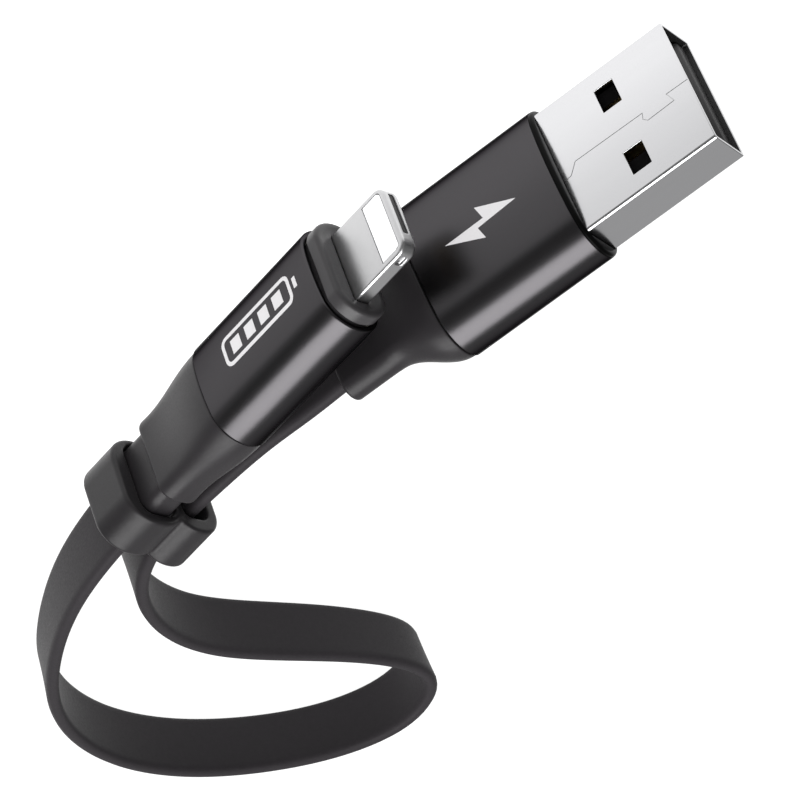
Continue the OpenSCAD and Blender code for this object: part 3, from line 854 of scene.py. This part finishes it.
def strip(points, width, closed=False):
    """Mitred quads along a polyline, each its own closed bar."""
    p = np.array(points, float)
    n = len(p)
    off = []
    for i in range(n):
        a = p[(i - 1) % n] if closed or i else None
        b = p[(i + 1) % n] if closed or i < n - 1 else None
        d0 = (p[i] - a) / np.linalg.norm(p[i] - a) if a is not None else None
        d1 = (b - p[i]) / np.linalg.norm(b - p[i]) if b is not None else None
        d0 = d1 if d0 is None else d0
        d1 = d0 if d1 is None else d1
        t = (d0 + d1) / np.linalg.norm(d0 + d1)
        nn = np.array([-t[1], t[0]])
        off.append(nn * width / 2 / max(0.5, abs(nn @ np.array([-d0[1], d0[0]]))))
    off = np.array(off)
    out = []
    for i in range(n if closed else n - 1):
        j = (i + 1) % n
        out.append([p[i] + off[i], p[j] + off[j], p[j] - off[j], p[i] - off[i]])
    return out


def rounded_loop(x0, x1, z0, z1, r, k=5):
    out = []
    for cx, cz, a0 in ((x1 - r, z1 - r, 0), (x0 + r, z1 - r, 90), (x0 + r, z0 + r, 180), (x1 - r, z0 + r, 270)):
        for a in np.linspace(a0, a0 + 90, k):
            out.append((cx + r * cos(radians(a)), cz + r * sin(radians(a))))
    return out


# battery outline with level bars on the phone plug's barrel
marks = strip(rounded_loop(4.0, 12.6, -1.75, 0.75, 0.55), 0.34, True)
marks += [[(3.1, -1.0), (3.5, -1.0), (3.5, 0.0), (3.1, 0.0)]]
for k in range(4):
    x = 5.0 + k * 1.85
    marks.append([(x, -1.15), (x + 1.15, -1.15), (x + 1.15, 0.15), (x, 0.15)])
ph_mark = stamp(marks, PBAR, at_phone, "phone_battery_mark")

# charging bolt on the USB plug's barrel
bolt = [[(16.4, 0.35), (19.9, -1.25), (19.55, 0.05)], [(16.4, 0.35), (19.55, 0.05), (20.3, 0.55)],
        [(23.4, 0.1), (20.0, 1.7), (20.3, 0.55)], [(23.4, 0.1), (20.3, 0.55), (19.55, 0.05)]]
usb_mark = stamp(bolt, BAR, at_usb, "usb_bolt_mark")


# ------------------------------------------------------------------ floor and light
def floor():
    r = 3.0
    me = bpy.data.meshes.new("floor")
    n = 96
    V = [(0, 0, 0)]
    F = []
    radii = [0.2, 1.0, r]
    for q in radii:
        V += [(q * cos(2 * pi * k / n), q * sin(2 * pi * k / n), 0) for k in range(n)]
    for k in range(n):
        F.append((0, 1 + k, 1 + (k + 1) % n))
        for i in range(len(radii) - 1):
            a, b = 1 + i * n, 1 + (i + 1) * n
            F.append((a + k, b + k, b + (k + 1) % n, a + (k + 1) % n))
    me.from_pydata([(x + 0.02, y + 0.02, -0.0002) for x, y, z in V], [], F)
    o = bpy.data.objects.new("floor", me)
    scene.collection.objects.link(o)
    mt = bpy.data.materials.new("floor_painted_glow")
    mt.use_nodes = True
    nd, ln = mt.node_tree.nodes, mt.node_tree.links
    b = next(x for x in nd if x.type == "BSDF_PRINCIPLED")
    b.inputs["Base Color"].default_value = (0.10, 0.10, 0.10, 1)
    b.inputs["Roughness"].default_value = 0.9
    b.inputs["Specular IOR Level"].default_value = 0.0
    tc = nd.new("ShaderNodeTexCoord")
    # painted light: the floor's own base is dark grey and it glows as a sheet under the object, fading out past each of
    # its four edges
    out = None
    for nx, ny, edge, width in ((-0.844, -0.535, 0.031, 0.022), (-0.856, 0.517, 0.043, 0.05), (0.915, 0.403, 0.085, 0.05),
                                (0.766, -0.643, 0.034, 0.022)):
        dt = nd.new("ShaderNodeVectorMath")
        dt.operation = "DOT_PRODUCT"
        dt.inputs[1].default_value = (nx, ny, 0)
        ln.new(tc.outputs["Object"], dt.inputs[0])
        mr = nd.new("ShaderNodeMapRange")
        mr.interpolation_type = "SMOOTHSTEP"
        mr.inputs["From Min"].default_value = edge
        mr.inputs["From Max"].default_value = edge + width
        mr.inputs["To Min"].default_value = 1.0
        mr.inputs["To Max"].default_value = 0.0
        ln.new(dt.outputs["Value"], mr.inputs["Value"])
        if out is None:
            out = mr.outputs["Result"]
        else:
            mu = nd.new("ShaderNodeMath")
            mu.operation = "MULTIPLY"
            ln.new(out, mu.inputs[0])
            ln.new(mr.outputs["Result"], mu.inputs[1])
            out = mu.outputs["Value"]
    mr = nd.new("ShaderNodeMapRange")
    mr.inputs["To Min"].default_value = 0.27
    mr.inputs["To Max"].default_value = 0.99
    ln.new(out, mr.inputs["Value"])
    # painted pool of light: the floor glows brighter along the plugs' foot
    sp = nd.new("ShaderNodeSeparateXYZ")
    ln.new(tc.outputs["Object"], sp.inputs[0])
    ad = nd.new("ShaderNodeMath")
    ad.operation = "ADD"
    ad.inputs[1].default_value = 0.004
    ln.new(sp.outputs["Y"], ad.inputs[0])
    ab = nd.new("ShaderNodeMath")
    ab.operation = "ABSOLUTE"
    ln.new(ad.outputs["Value"], ab.inputs[0])
    foot_glow_pool = nd.new("ShaderNodeMapRange")
    foot_glow_pool.interpolation_type = "SMOOTHSTEP"
    foot_glow_pool.inputs["From Min"].default_value = 0.0
    foot_glow_pool.inputs["From Max"].default_value = 0.018
    foot_glow_pool.inputs["To Min"].default_value = 0.48
    foot_glow_pool.inputs["To Max"].default_value = 0.0
    ln.new(ab.outputs["Value"], foot_glow_pool.inputs["Value"])
    gm = nd.new("ShaderNodeMath")
    gm.operation = "MULTIPLY_ADD"
    ln.new(foot_glow_pool.outputs["Result"], gm.inputs[0])
    ln.new(out, gm.inputs[1])
    ln.new(mr.outputs["Result"], gm.inputs[2])
    b.inputs["Emission Color"].default_value = (1, 1, 1, 1)
    ln.new(gm.outputs["Value"], b.inputs["Emission Strength"])
    me.materials.append(mt)
    return o


floor()


def area(name, direction, dist, size_x, size_y, radiance, target=(0.01, 0.012, 0.006), glossy=True):
    """Rectangle light whose first side runs along the plugs' X."""
    d = Vector(direction).normalized()
    ex = (Vector((1, 0, 0)) - d * d.x).normalized()
    ey = d.cross(ex)
    li = bpy.data.lights.new(name, "AREA")
    li.shape = "RECTANGLE"
    li.size, li.size_y = size_x, size_y
    li.energy = radiance * pi * size_x * size_y
    o = bpy.data.objects.new(name, li)
    scene.collection.objects.link(o)
    mw = Matrix.Identity(4)
    for i in range(3):
        mw[i][0], mw[i][1], mw[i][2], mw[i][3] = ex[i], ey[i], d[i], target[i] + d[i] * dist
    o.matrix_world = mw
    o.visible_glossy = glossy
    return o


area("softbox_top", (0.33, -0.20, 0.92), 0.40, 0.60, 0.36, 6.0)
area("fill_front", scene.camera.matrix_world.col[2][:3], 0.5, 0.3, 0.3, 2.6, glossy=False)
area("card_back", (0.30, 0.79, 0.50), 0.5, 0.6, 0.42, 0.33)

world = bpy.data.worlds.new("studio")
world.use_nodes = True
bg = next(x for x in world.node_tree.nodes if x.type == "BACKGROUND")
bg.inputs["Color"].default_value = (1, 1, 1, 1)
bg.inputs["Strength"].default_value = 0.2
scene.world = world
